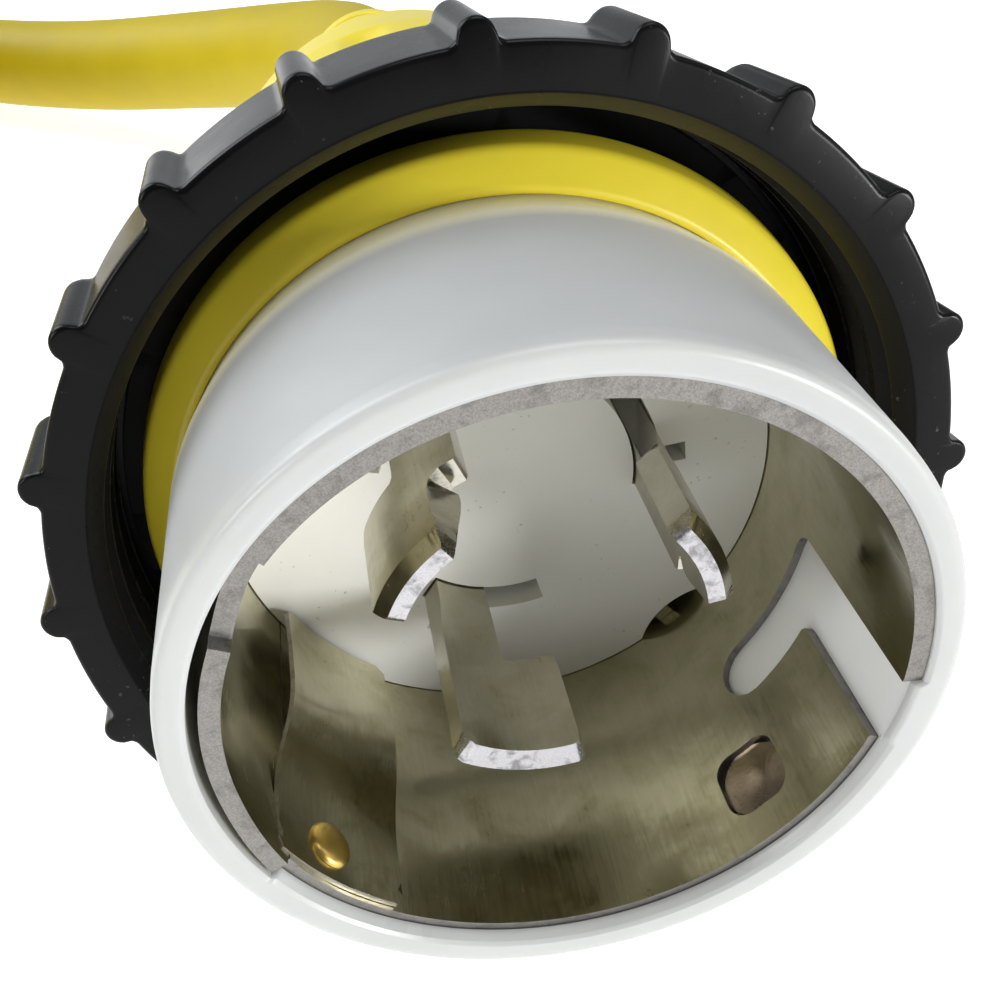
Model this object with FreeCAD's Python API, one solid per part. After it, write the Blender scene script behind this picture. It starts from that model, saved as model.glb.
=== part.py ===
import FreeCAD, Part

import os
from math import atan2, cos, degrees, hypot, pi, radians, sin, tan

# Shore power cord, 50 A 125/250 V twist-lock: a moulded plug with a loose threaded ring, a thick
# cable wound in a coil, and the matching connector on the far end. Millimetres, +Z up, z = 0 is
# the surface that everything lies on. The plug lies along Y with its mouth towards -Y.
#
# Plug and connector are each built on a local axis along +Y. A station s is the distance behind
# the mouth, and an angle is measured from +X towards +Z as seen from in front of the mouth.

Vector = FreeCAD.Vector

# ---- shroud and ground shell ----
SHROUD_R = 31.0  # outside of the nylon shroud
SHROUD_WALL = 2.4
SHROUD_BAND_S = 23.4  # where the shroud narrows towards the moulded flange
SHROUD_BAND_R = 30.3
SHROUD_END_S = 33.0
LIP_INNER_R = 27.2  # lip that covers the shell's edge round the lower half of the mouth
PAD_R = 27.8  # nylon that stands in the J slot
SHELL_R = 26.9  # inside of the ground shell
SHELL_WALL = 1.6
SHELL_FRONT_S = 0.5
SHELL_END_S = 44.0
EDGE_STEP = 0.8  # how far the sheared front edge is set back beside the slots
LEG_ANGLES = (-15.4, -1.2)  # straight leg of the J slot
HOOK_ANGLES = (-33.0, -1.2)  # bayonet hook of the J slot
HOOK_S = (15.8, 21.9)
POCKET_ANGLE = -42.5  # round pocket pressed in the shell's wall
POCKET_S = 8.0
POCKET_R = 3.5
POCKET_DEPTH = 1.2
STEP_GAPS = ((143.0, 159.0), (212.0, 344.6))  # stretches where the front edge is set back

# ---- insulating core ----
FLOOR_S = 31.8  # floor of the plug's socket
CORE_R = 26.8
CORE_END_S = 50.0
KEY_HOLE_R = 16.5  # small square hole beside each blade
KEY_HOLE = 2.0

# ---- blades: arcs about the plug's axis ----
BLADE_IN = 12.3
BLADE_OUT = 14.7
BLADE_TIP_S = 8.5
BLADE_SHOULDER_S = 20.2
HEAD_WIDTH = 48.5  # degrees
STEM_WIDTH = 25.0
RELIEF_WIDTH = 12.5  # front corner taken off the two hot blades
RELIEF_S = 17.0
# First edge of each blade in degrees, and how far it stands outside the common circle.
BLADES = {"neutral": (-122.2, 0.0), "hot_x": (115.6, 0.0), "hot_y": (-2.4, 1.1)}
TWIST = 25.0  # turn in degrees that locks plug and connector
SLOT_GAP = 0.15
BARREL_S = (50.5, 64.0)
BARREL_OUT = 4.0
BARREL_BORE = 2.6

# ---- ground contact spring and its rivet, ground lug ----
SPRING_ANGLES = (-151.5, -120.5)
SPRING_T = 0.5
RIVET_R = 1.1
RIVET_HEAD_R = 2.0
RIVET_ANGLE = -137.3
RIVET_S = 5.2
LUG_ANGLE = -46.0
LUG_R = 17.0
LUG_T = 1.4

# ---- moulded body, stations counted from the front of its flange ----
FLANGE_INNER_R = 30.3
FLANGE_R = 34.0
FLANGE_SLOPE = 2.0
FLANGE_T = 6.0
NECK_R = 30.0
NECK_END = 26.4
GRIP_R = 31.0
BODY_END = 120.4
RELIEF_END = 158.4
PREMOULD_END = 112.0
GRIP_RIBS = 12
PLUG_FLANGE_S = 27.6
CONNECTOR_FLANGE_S = 31.0

# ---- threaded ring ----
RING_R = 41.2
RING_BORE = 36.1
RING_FACE_IN = 37.6
RING_CHAMFER = 2.6
RING_BAND = 13.0
RING_L = 19.0
RING_BACK_R = 36.6
LIP_R = 31.4
LIP_T = 3.0
RIB_R = 1.5
RIB_CENTRE = 41.5
RIB_COUNT = 20
RIB_PHASE = 5.2
WASHER_T = 0.8
PLUG_RING_FRONT = (0.32, 22.0, 1.13)  # centre of the ring's front face on the plug's axis
PLUG_RING_TILT = (0.039, 0.091)  # x and z of the ring's axis for each unit towards the mouth
CONNECTOR_RING_FRONT = (0.0, 25.4, 0.9)

# ---- connector nose ----
NOSE_R = 26.2
BAND_R = 26.6
BAND_S = (9.9, 29.0)
LUG_PIN_R = 2.5
LUG_PIN_TOP = 27.6
CONTACT_GAP = 0.3  # clearance of a slot on each face of a blade
CONTACT_T = 1.0
CONTACT_S = (4.0, 30.0)

# ---- cable ----
CABLE_R = 12.0
CORD_LENGTH = 7620.0  # 25 ft, over both moulded ends
WIRE_R = {"black": 3.7, "red": 3.7, "white": 3.7, "green": 3.1}
WIRE_CIRCLE = 5.6
BUNDLE_ANGLE = {"white": -130.0, "green": -40.0, "red": 50.0, "black": 140.0}

# ---- places on the surface ----
AXIS_Z = 42.68  # height of the plug's axis with the ring's ribs on the surface
PLUG_LENGTH = PLUG_FLANGE_S + RELIEF_END
MOUTH_Y = -PLUG_LENGTH / 2
CONNECTOR_LENGTH = CONNECTOR_FLANGE_S + RELIEF_END
CONNECTOR_FACE_X = -130.0
CONNECTOR_Y = MOUTH_Y + 18.0
CONNECTOR_Z = 41.94
STRAP_T = 1.5
STRAP_W = 20.0
STRAP_ANGLES = (350.0, 220.0)
COIL_CENTRE = (-298.0, MOUTH_Y + 250.0)
COIL_INNER = 103.9  # radius of the innermost turn
COIL_STEPS = 3.34  # turns from the innermost to the outermost radius
COIL_OUTER = COIL_INNER + 2 * CABLE_R * COIL_STEPS
COIL_Z = (STRAP_T + CABLE_R, STRAP_T + 3 * CABLE_R)
COIL_EXIT = 90.0 + 360.0 * (2 * COIL_STEPS + 0.5)  # direction in which the last turn ends

# Route of the cable from the plug to the coil. The first point is the end of the strain relief.
LEAD_ROUTE = [
    (0.0, MOUTH_Y + PLUG_LENGTH, AXIS_Z),
    (-2.0, MOUTH_Y + 212.0, 40.5),
    (-13.0, MOUTH_Y + 243.0, 34.5),
    (-38.0, MOUTH_Y + 276.0, 26.5),
    (-77.0, MOUTH_Y + 311.0, 17.5),
    (-124.0, MOUTH_Y + 349.0, 13.0),
    (-172.0, MOUTH_Y + 391.0, 13.0),
    (-236.0, MOUTH_Y + 431.0, 13.5),
    (COIL_CENTRE[0], COIL_CENTRE[1] + COIL_OUTER, COIL_Z[0]),
]


def polar(r, angle, s):
    """A point at a radius, an angle in degrees and a station."""
    return Vector(r * cos(radians(angle)), s, r * sin(radians(angle)))


def revolve(outline):
    """A closed outline of (station, radius) points turned about the local axis."""
    points = [Vector(r, s, 0) for s, r in outline]
    face = Part.Face(Part.makePolygon(points + points[:1]))
    return face.revolve(Vector(0, 0, 0), Vector(0, 1, 0), 360)


def tube(r_in, r_out, s0, s1):
    return revolve([(s0, r_in), (s0, r_out), (s1, r_out), (s1, r_in)])


def rod(r, s0, s1):
    return Part.makeCylinder(r, s1 - s0, Vector(0, s0, 0), Vector(0, 1, 0))


def sector(r_in, r_out, a0, a1, s0, s1):
    """A block of a tube's wall between two angles and two stations."""
    middle = (a0 + a1) / 2
    outer = Part.Arc(polar(r_out, a0, s0), polar(r_out, middle, s0), polar(r_out, a1, s0))
    inner = Part.Arc(polar(r_in, a1, s0), polar(r_in, middle, s0), polar(r_in, a0, s0))
    edges = [
        outer.toShape(),
        Part.makeLine(polar(r_out, a1, s0), polar(r_in, a1, s0)),
        inner.toShape(),
        Part.makeLine(polar(r_in, a0, s0), polar(r_out, a0, s0)),
    ]
    return Part.Face(Part.Wire(edges)).extrude(Vector(0, s1 - s0, 0))


def drill(r, angle, s, r_in, r_out):
    """A radial cylinder that pierces a wall between two radii."""
    return Part.makeCylinder(r, r_out - r_in, polar(r_in, angle, s), polar(1, angle, 0))


def ring_frame(shape, front, tilt=(0.0, 0.0)):
    """Move a shape built about the local axis onto the ring's own axis."""
    axis = Vector(-tilt[0], 1.0, -tilt[1])
    turn = FreeCAD.Rotation(Vector(0, 1, 0), axis)
    moved = shape.copy()
    moved.Placement = FreeCAD.Placement(Vector(*front), turn)
    return moved


# ---- sweeping a cable or wire along a route ----


def route_wire(points, name):
    """Straight runs joined by tangent arcs, each arc as large as its two runs allow."""
    pts = [Vector(*p) for p in points]
    edges = []
    start = pts[0]
    radii = []
    for before, here, after in zip(pts, pts[1:], pts[2:]):
        back, ahead = (before - here), (after - here)
        shorter = min(back.Length, ahead.Length)
        half_turn = (pi - back.getAngle(ahead)) / 2
        cut = 0.45 * shorter
        radii.append(cut / tan(half_turn))
        back.normalize()
        ahead.normalize()
        enter, leave = here + back * cut, here + ahead * cut
        bisector = back + ahead
        bisector.normalize()
        centre = here + bisector * (radii[-1] / cos(half_turn))
        middle = centre - bisector * radii[-1]
        edges.append(Part.LineSegment(start, enter).toShape())
        edges.append(Part.Arc(enter, middle, leave).toShape())
        start = leave
    edges.append(Part.LineSegment(start, pts[-1]).toShape())
    print(name, "radii", [round(r) for r in radii], "length", round(sum(e.Length for e in edges)))
    return Part.Wire(edges)


def sweep(points, radius, name):
    """A round cord along a route, checked against its section times its length."""
    path = route_wire(points, name)
    first = path.Edges[0]
    direction = first.tangentAt(first.FirstParameter)
    section = Part.Wire(Part.makeCircle(radius, Vector(*points[0]), direction))
    solid = path.makePipeShell([section], True, False)
    share = solid.Volume / (pi * radius**2 * path.Length)
    print(name, "volume over section times length", round(share, 4))
    return solid, path.Length


# ---- plug ----


def plug_shroud():
    """Shroud, with a lip over the set-back part of the shell and a pad that backs the J slot."""
    outer = [
        (0.0, SHROUD_R - SHROUD_WALL + 0.7),
        (0.0, SHROUD_R - 0.8),
        (0.8, SHROUD_R),
        (SHROUD_BAND_S, SHROUD_R),
        (PLUG_FLANGE_S, SHROUD_BAND_R),
        (SHROUD_END_S, SHROUD_BAND_R),
        (SHROUD_END_S, SHROUD_R - SHROUD_WALL),
        (0.7, SHROUD_R - SHROUD_WALL),
    ]
    bore = SHROUD_R - SHROUD_WALL
    shroud = revolve(outer)
    a0, a1 = STEP_GAPS[1]
    lip = sector(LIP_INNER_R, bore + 0.5, a0 + 0.3, a1 - 0.5, 0.2, SHELL_FRONT_S + EDGE_STEP - 0.05)
    return shroud.fuse([lip] + slot_shapes(PAD_R, bore + 0.5, 0.1)).removeSplitter()


def plug_core():
    """Nylon disc that closes the shroud, with a slot for each blade."""
    core = rod(CORE_R, FLOOR_S, CORE_END_S)
    for first, offset in BLADES.values():
        low, high = BLADE_IN + offset - SLOT_GAP, BLADE_OUT + offset + SLOT_GAP
        last = first + HEAD_WIDTH + 2.4
        core = core.cut(sector(low, high, first - 0.6, last, FLOOR_S - 1, FLOOR_S + 8))
        core = core.cut(sector(low, high, first - 0.6, first + STEM_WIDTH + 0.6, FLOOR_S, CORE_END_S + 1))
        hole = Part.makeBox(KEY_HOLE, 6, KEY_HOLE, Vector(KEY_HOLE_R, FLOOR_S - 1, -KEY_HOLE / 2))
        hole.rotate(Vector(0, 0, 0), Vector(0, -1, 0), first + 11)
        core = core.cut(hole)
    scallop = Part.makeCylinder(8.0, 4.0, polar(33.0, LUG_ANGLE + 3, FLOOR_S - 1), Vector(0, 1, 0))
    room = sector(CORE_R - 2.5, CORE_R + 1, LUG_ANGLE - 6, LUG_ANGLE + 8, FLOOR_S + 2.2, CORE_END_S + 1)
    return core.cut(scallop).cut(room)


def slot_shapes(low, high, gap=0.0):
    """Blocks that together fill the J slot between two radii, each smaller by a gap."""
    corner = 2.2 - gap
    spread = degrees(gap / SHELL_R)
    apex = HOOK_ANGLES[1] - degrees(2.2 / SHELL_R)
    leg0, leg1 = LEG_ANGLES[0] + spread, LEG_ANGLES[1] - spread
    hook0, hook1 = HOOK_S[0] + gap, HOOK_S[1] - gap
    return [
        sector(low, high, leg0, leg1, SHELL_FRONT_S - 0.4, HOOK_S[1] - 2.2),
        sector(low, high, HOOK_ANGLES[0], apex, hook0, hook1),
        drill(corner, apex, HOOK_S[1] - 2.2, low, high),
        drill((hook1 - hook0) / 2, HOOK_ANGLES[0], sum(HOOK_S) / 2, low, high),
    ]


def ground_shell():
    """Rolled shell with the J slot that locks onto the connector's pin."""
    wall = tube(SHELL_R, SHELL_R + SHELL_WALL, SHELL_FRONT_S, SHELL_END_S)
    low, high = SHELL_R - 1, SHELL_R + SHELL_WALL + 1
    cuts = slot_shapes(low, high)
    cuts.append(drill(POCKET_R, POCKET_ANGLE, POCKET_S, low, SHELL_R + POCKET_DEPTH))
    for a0, a1 in STEP_GAPS:
        cuts.append(sector(low, high, a0, a1, SHELL_FRONT_S - 1, SHELL_FRONT_S + EDGE_STEP))
    cuts.append(drill(RIVET_R, RIVET_ANGLE, RIVET_S, low, high))
    cuts.append(drill(1.55, LUG_ANGLE, SHELL_END_S - 4, low, high))
    for cut in cuts:
        wall = wall.cut(cut)
    return wall


def ground_spring():
    """Leaf riveted near the mouth that stands in from the shell towards its free rear end."""
    r = SHELL_R - 0.06
    stations = [(1.6, 0.0), (8.4, 0.0), (12.0, 0.5), (16.0, 1.7), (19.0, 2.1), (26.0, 1.9), (31.2, 1.5)]
    outer = [(s, r - rise) for s, rise in stations]
    inner = [(s, r - rise - SPRING_T) for s, rise in reversed(stations)]
    leaf = revolve(outer + inner).common(sector(SHELL_R - 6, SHELL_R + 2, *SPRING_ANGLES, 0, 33))
    return leaf.cut(drill(RIVET_R, RIVET_ANGLE, RIVET_S, SHELL_R - 6, SHELL_R + 2))


def spring_rivet():
    """Brass rivet with a domed head inside the shell."""
    base = SHELL_R - 0.16 - SPRING_T
    shank = drill(RIVET_R - 0.05, RIVET_ANGLE, RIVET_S, base - 0.1, SHELL_R + SHELL_WALL - 0.05)
    dome_r = 2.6
    depth = (dome_r**2 - RIVET_HEAD_R**2) ** 0.5
    dome = Part.makeSphere(dome_r, polar(base + depth, RIVET_ANGLE, RIVET_S))
    return shank.fuse(dome.common(drill(RIVET_HEAD_R, RIVET_ANGLE, RIVET_S, base - 3, base)))


def barrel_centre(first, offset):
    """Radius and angle of the crimp barrel behind a blade's stem."""
    return (BLADE_IN + BLADE_OUT) / 2 + offset, first + STEM_WIDTH / 2


def crimp_barrel(r, angle, r_out, r_bore):
    """A crimp barrel, and the bore in it that takes the copper."""
    centre = polar(r, angle, BARREL_S[0])
    length = BARREL_S[1] - BARREL_S[0]
    barrel = Part.makeCylinder(r_out, length, centre, Vector(0, 1, 0))
    bore = Part.makeCylinder(r_bore, length, centre + Vector(0, 1.5, 0), Vector(0, 1, 0))
    return barrel, bore


def blade(first, offset, hot):
    """Curved blade with a bayonet head, a stem through the core and a crimp barrel behind."""
    last = first + HEAD_WIDTH
    low, high = BLADE_IN + offset, BLADE_OUT + offset
    if hot:
        head = sector(low, high, first + RELIEF_WIDTH, last, BLADE_TIP_S, BLADE_SHOULDER_S)
        head = head.fuse(sector(low, high, first, last, RELIEF_S, BLADE_SHOULDER_S))
        head = head.cut(drill(1.6, first + RELIEF_WIDTH - 3.0, RELIEF_S - 0.6, low - 1, high + 1))
    else:
        head = sector(low, high, first, last, BLADE_TIP_S, BLADE_SHOULDER_S)
    stem = sector(low, high, first, first + STEM_WIDTH, BLADE_SHOULDER_S - 0.5, BARREL_S[0] + 1.5)
    barrel, bore = crimp_barrel(*barrel_centre(first, offset), BARREL_OUT, BARREL_BORE)
    return head.fuse(stem).removeSplitter().fuse(barrel).cut(bore).removeSplitter()


def ground_lug():
    """Strip bent in from the shell's back edge to a crimp barrel for the green wire."""
    out = SHELL_R - 0.05
    foot = sector(out - LUG_T, out, LUG_ANGLE - 5, LUG_ANGLE + 5, SHELL_END_S - 9, BARREL_S[0] + 1.5)
    toe = sector(out - 1.2, out, LUG_ANGLE - 1, LUG_ANGLE + 3, FLOOR_S + 0.8, SHELL_END_S - 8)
    web = sector(LUG_R - 2, out, LUG_ANGLE - 5, LUG_ANGLE + 5, BARREL_S[0], BARREL_S[0] + 1.5)
    barrel, bore = crimp_barrel(LUG_R, LUG_ANGLE, BARREL_OUT - 0.3, BARREL_BORE - 0.5)
    lug = foot.fuse([toe, web, barrel]).cut(bore)
    return lug.cut(drill(1.55, LUG_ANGLE, SHELL_END_S - 4, out - 3, out + 1)).removeSplitter()


def lug_rivet():
    s = SHELL_END_S - 4
    inner = SHELL_R - 0.05 - LUG_T
    shank = drill(1.5, LUG_ANGLE, s, inner - 0.3, SHELL_R + SHELL_WALL - 0.05)
    head = drill(2.3, LUG_ANGLE, s, inner - 0.9, inner - 0.12)
    return shank.fuse(head)


# ---- wires and mouldings, shared by both ends ----


def terminals():
    """Radius, angle, copper radius and colour of each of the four crimps."""
    colours = {"neutral": "white", "hot_x": "black", "hot_y": "red"}
    found = [(*barrel_centre(*BLADES[name]), BARREL_BORE - 0.05, colours[name]) for name in BLADES]
    return found + [(LUG_R, LUG_ANGLE, BARREL_BORE - 0.55, "green")]


def wire_route(r, angle, colour, flange):
    """From the back of a crimp barrel to the end of the cable's jacket."""
    bundle = BUNDLE_ANGLE[colour]
    s1 = flange + PREMOULD_END
    return [
        tuple(polar(r, angle, BARREL_S[1])),
        tuple(polar(r, angle, BARREL_S[1] + 15)),
        tuple(polar(WIRE_CIRCLE, bundle, s1 - 26)),
        tuple(polar(WIRE_CIRCLE, bundle, s1)),
    ]


def wires(flange):
    """The four insulated conductors, by colour."""
    made = {}
    for r, angle, _, colour in terminals():
        made[colour] = sweep(wire_route(r, angle, colour, flange), WIRE_R[colour], "wire_" + colour)[0]
    return made


def wire_ends():
    """Bare copper of the four conductors in their crimp barrels."""
    start = BARREL_S[0] + 1.6
    ends = [
        Part.makeCylinder(copper, BARREL_S[1] - start, polar(r, angle, start), Vector(0, 1, 0))
        for r, angle, copper, _ in terminals()
    ]
    return Part.makeCompound(ends)


def premould(flange, core_end, inner_parts):
    """Rigid inner moulding that holds the crimps and wires."""
    end = flange + PREMOULD_END
    front = core_end + 3
    outline = [(core_end, 0), (core_end, SHELL_R), (front, SHELL_R), (front, 25.5)]
    outline += [(end - 46, 24.5), (end - 6, 14.0), (end, 14.0), (end, 0)]
    solid = revolve(outline)
    for part in inner_parts:
        solid = solid.cut(part)
    return solid


def crimp_space():
    """Room for the four crimp barrels inside the premould."""
    length = BARREL_S[1] - BARREL_S[0] + 0.5
    rooms = []
    for r, angle, _, colour in terminals():
        size = BARREL_OUT - 0.3 if colour == "green" else BARREL_OUT
        rooms.append(Part.makeCylinder(size, length, polar(r, angle, BARREL_S[0] - 0.5), Vector(0, 1, 0)))
    return rooms


def stem_room(a0, a1, offset):
    """Room in a premould for the root of a blade's stem."""
    low, high = BLADE_IN + offset - 0.05, BLADE_OUT + offset + 0.05
    return sector(low, high, a0 - 0.3, a1 + 0.3, CORE_END_S - 1, BARREL_S[0] + 1.6)


def lug_room(r_out, angle):
    """Room in a premould for the tongue of a ground lug."""
    return sector(LUG_R - 2, r_out, angle - 5.2, angle + 5.2, CORE_END_S - 1, BARREL_S[0] + 1.6)


def moulded_body(flange, hollow):
    """Soft overmoulding: flange, neck for the ring, ribbed grip and taper to the cable."""
    f = flange
    outline = [
        (f, 0),
        (f, FLANGE_INNER_R),
        (f + FLANGE_SLOPE, FLANGE_R - 0.9),
        (f + FLANGE_SLOPE + 0.9, FLANGE_R),
        (f + FLANGE_T - 0.6, FLANGE_R),
        (f + FLANGE_T, FLANGE_R - 0.6),
        (f + FLANGE_T, NECK_R),
        (f + NECK_END, NECK_R),
        (f + NECK_END + 1.2, GRIP_R),
        (f + 66, GRIP_R - 1.2),
        (f + 84, 27.6),
        (f + 102, 22.8),
        (f + BODY_END - 1, 18.6),
        (f + BODY_END, 17.8),
        (f + BODY_END, 0),
    ]
    body = revolve(outline)
    for k in range(GRIP_RIBS):
        angle = 360 / GRIP_RIBS * (k + 0.5)
        flute = Part.makeCylinder(3.2, 30, polar(GRIP_R + 1.9, angle, f + 33), Vector(0, 1, 0))
        body = body.cut(flute)
    return body.cut(hollow)


def strain_relief(flange):
    """Tapered sleeve with cushioning grooves over the cable's end."""
    s0, s1 = flange + BODY_END, flange + RELIEF_END
    count = 5
    pitch = (s1 - s0 - 6) / count
    outline = [(s0, CABLE_R), (s0, 16.8)]
    for k in range(count):
        s = s0 + 4 + k * pitch
        r = 16.8 - (k + 0.5) * 0.62
        outline += [(s, r), (s + 0.6, r - 1.5), (s + 2.4, r - 1.5), (s + 3.0, r - 0.1)]
    outline += [(s1 - 0.8, 13.2), (s1, 12.8), (s1, CABLE_R)]
    return revolve(outline)


def jacket_end(flange):
    """The cable's jacket inside the mouldings, up to where the wires fan out."""
    return rod(CABLE_R, flange + PREMOULD_END, flange + RELIEF_END)


def threaded_ring():
    """Coupling ring: ribbed band in front, taper and inward lip behind, bore for the thread."""
    outline = [
        (0.0, RING_FACE_IN),
        (0.0, RING_R - 0.5),
        (0.5, RING_R),
        (RING_BAND - 0.4, RING_R),
        (RING_BAND, RING_R - 0.4),
        (RING_L - 0.8, RING_BACK_R),
        (RING_L, RING_BACK_R - 1.0),
        (RING_L, LIP_R + 0.4),
        (RING_L - 0.4, LIP_R),
        (RING_L - LIP_T, LIP_R),
        (RING_L - LIP_T, RING_BORE),
        (RING_CHAMFER, RING_BORE),
    ]
    ring = revolve(outline)
    ribs = []
    for k in range(RIB_COUNT):
        angle = RIB_PHASE + 360 / RIB_COUNT * k
        ribs.append(Part.makeCylinder(RIB_R, RING_BAND - 0.4, polar(RIB_CENTRE, angle, 0), Vector(0, 1, 0)))
    return ring.fuse(ribs).removeSplitter()


def slip_washer():
    """Thin washer in the ring's bore, between its lip and the moulded flange."""
    s1 = RING_L - LIP_T - 0.05
    return tube(LIP_R + 0.3, RING_BORE - 0.4, s1 - WASHER_T, s1)


# ---- connector ----


def mirrored(angle):
    """An angle on the plug's face as it appears on the connector's face."""
    return 180.0 - angle


def contact_span(first):
    """Angles of the slot that takes a blade's head and lets it twist to lock."""
    return mirrored(first + HEAD_WIDTH + TWIST) - 1.0, mirrored(first) + 1.0


def connector_nose():
    """Insulating nose with an arc slot and a contact pocket for each blade."""
    outline = [(0, 0), (0, NOSE_R - 0.8), (0.8, NOSE_R), (BAND_S[0], NOSE_R), (BAND_S[0], NOSE_R - 0.6)]
    outline += [(BAND_S[1], NOSE_R - 0.6), (BAND_S[1], NOSE_R), (CORE_END_S, NOSE_R), (CORE_END_S, 0)]
    nose = revolve(outline)
    for first, offset in BLADES.values():
        low, high = BLADE_IN + offset - CONTACT_GAP, BLADE_OUT + offset + CONTACT_GAP
        a0, a1 = contact_span(first)
        nose = nose.cut(sector(low, high, a0, a1, -1, CONTACT_S[1]))
        wide_low, wide_high = low - CONTACT_T - 0.1, high + CONTACT_T + 0.1
        s0, s1 = CONTACT_S[0] - 0.1, CONTACT_S[1] + 0.1
        nose = nose.cut(sector(wide_low, wide_high, a0 - 0.6, a1 + 0.6, s0, s1))
        stem0, stem1 = contact_stem_angles(first)
        nose = nose.cut(sector(low + 0.2, high - 0.2, stem0 - 0.3, stem1 + 0.3, s0, CORE_END_S + 1))
    lug = mirrored(LUG_ANGLE)
    low, high = BAND_R - LUG_T - 1.2, BAND_R + 1
    return nose.cut(sector(low, high, lug - 5.3, lug + 5.3, BAND_S[1] - 4, CORE_END_S + 1))


def contact_stem_angles(first):
    return mirrored(first + STEM_WIDTH), mirrored(first)


def connector_contact(first, offset):
    """Two spring leaves that grip a blade, a stem through the nose and a crimp barrel."""
    low, high = BLADE_IN + offset - CONTACT_GAP, BLADE_OUT + offset + CONTACT_GAP
    a0, a1 = contact_span(first)
    s0, s1 = CONTACT_S
    inner = sector(low - CONTACT_T, low, a0, a1, s0, s1)
    outer = sector(high, high + CONTACT_T, a0, a1, s0, s1)
    back = sector(low - CONTACT_T, high + CONTACT_T, a0, a1, s1 - 1.5, s1)
    blade_low, blade_high = BLADE_IN + offset, BLADE_OUT + offset
    stem = sector(blade_low, blade_high, *contact_stem_angles(first), s1 - 1.5, BARREL_S[0] + 1.5)
    r, angle = barrel_centre(first, offset)
    barrel, bore = crimp_barrel(r, mirrored(angle), BARREL_OUT, BARREL_BORE)
    return inner.fuse([outer, back, stem, barrel]).cut(bore).removeSplitter()


def connector_ground_band():
    """Metal band round the nose with the pin that runs in the plug's J slot."""
    band = tube(NOSE_R - 0.58, BAND_R, BAND_S[0] + 0.02, BAND_S[1] - 0.02)
    pin_s = FLOOR_S - sum(HOOK_S) / 2
    pin_angle = mirrored(sum(LEG_ANGLES) / 2)
    pin = drill(LUG_PIN_R, pin_angle, pin_s, NOSE_R - 0.3, LUG_PIN_TOP)
    return band.fuse(pin).removeSplitter()


def connector_ground_lug():
    """Strip from the band to the crimp barrel of the green wire."""
    out = NOSE_R - 0.6
    angle = mirrored(LUG_ANGLE)
    foot = sector(out - LUG_T, out, angle - 5, angle + 5, BAND_S[1] - 3.8, BARREL_S[0] + 1.5)
    web = sector(LUG_R - 2, out, angle - 5, angle + 5, BARREL_S[0], BARREL_S[0] + 1.5)
    barrel, bore = crimp_barrel(LUG_R, angle, BARREL_OUT - 0.3, BARREL_BORE - 0.5)
    return foot.fuse([web, barrel]).cut(bore).removeSplitter()


def sealing_gasket():
    """Soft gasket round the root of the nose, against the flange."""
    return tube(BAND_R + 0.1, FLANGE_R - 1.2, CONNECTOR_FLANGE_S - 2.6, CONNECTOR_FLANGE_S - 0.05)


# ---- coil and its straps ----


def cable_coil():
    """Outer shape of the wound cable: a ring with bevelled corners, two turns high."""
    low, high = COIL_INNER - CABLE_R, COIL_OUTER + CABLE_R
    bottom, top = COIL_Z[0] - CABLE_R, COIL_Z[1] + CABLE_R
    c = 7.0
    points = [(low, bottom + c), (low + c, bottom), (high - c, bottom), (high, bottom + c)]
    points += [(high, top - c), (high - c, top), (low + c, top), (low, top - c)]
    outline = [Vector(r, 0, z) for r, z in points]
    face = Part.Face(Part.makePolygon(outline + outline[:1]))
    coil = face.revolve(Vector(0, 0, 0), Vector(0, 0, 1), 360)
    coil.translate(Vector(*COIL_CENTRE, 0))
    return coil


def coil_straps():
    """Hook-and-loop straps round the bundle of turns."""
    play = 0.8
    low, high = COIL_INNER - CABLE_R - play, COIL_OUTER + CABLE_R + 0.3
    top = COIL_Z[1] + CABLE_R
    corner = Vector(low - STRAP_T, -STRAP_W / 2, 0)
    inner_corner = Vector(low, -STRAP_W / 2 - 1, STRAP_T)
    straps = []
    for angle in STRAP_ANGLES:
        outer = Part.makeBox(high - low + 2 * STRAP_T, STRAP_W, top + STRAP_T, corner)
        inner = Part.makeBox(high - low, STRAP_W + 2, top - STRAP_T, inner_corner)
        strap = outer.cut(inner)
        strap.rotate(Vector(0, 0, 0), Vector(0, 0, 1), angle)
        strap.translate(Vector(*COIL_CENTRE, 0))
        straps.append(strap)
    return Part.makeCompound(straps)


def tail_route():
    """From the coil's outer top turn round to the back of the connector."""
    cx, cy = COIL_CENTRE
    a = radians(COIL_EXIT)
    start = Vector(cx + COIL_OUTER * cos(a), cy + COIL_OUTER * sin(a), COIL_Z[1])
    end = Vector(CONNECTOR_FACE_X - CONNECTOR_LENGTH, CONNECTOR_Y, CONNECTOR_Z)
    return [
        tuple(start),
        (cx - 189.5, cy + 30.2, 36.5),
        (cx - 216.4, cy - 21.4, 22.8),
        (cx - 224.0, cy - 79.3, 13.9),
        (cx - 211.3, cy - 136.3, 12.3),
        (cx - 178.3, cy - 184.4, 12.2),
        (cx - 130.6, cy - 218.2, 21.2),
        (end.x - 52.5, end.y, 39.3),
        tuple(end),
    ]


# ---- placing and writing ----


def on_plug(shape):
    moved = shape.copy()
    moved.translate(Vector(0, MOUTH_Y, AXIS_Z))
    return moved


def on_connector(shape):
    """Local +Y turned to -X: the connector's face looks towards +X."""
    moved = shape.copy()
    moved.rotate(Vector(0, 0, 0), Vector(0, 0, 1), 90)
    moved.translate(Vector(CONNECTOR_FACE_X, CONNECTOR_Y, CONNECTOR_Z))
    return moved


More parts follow.
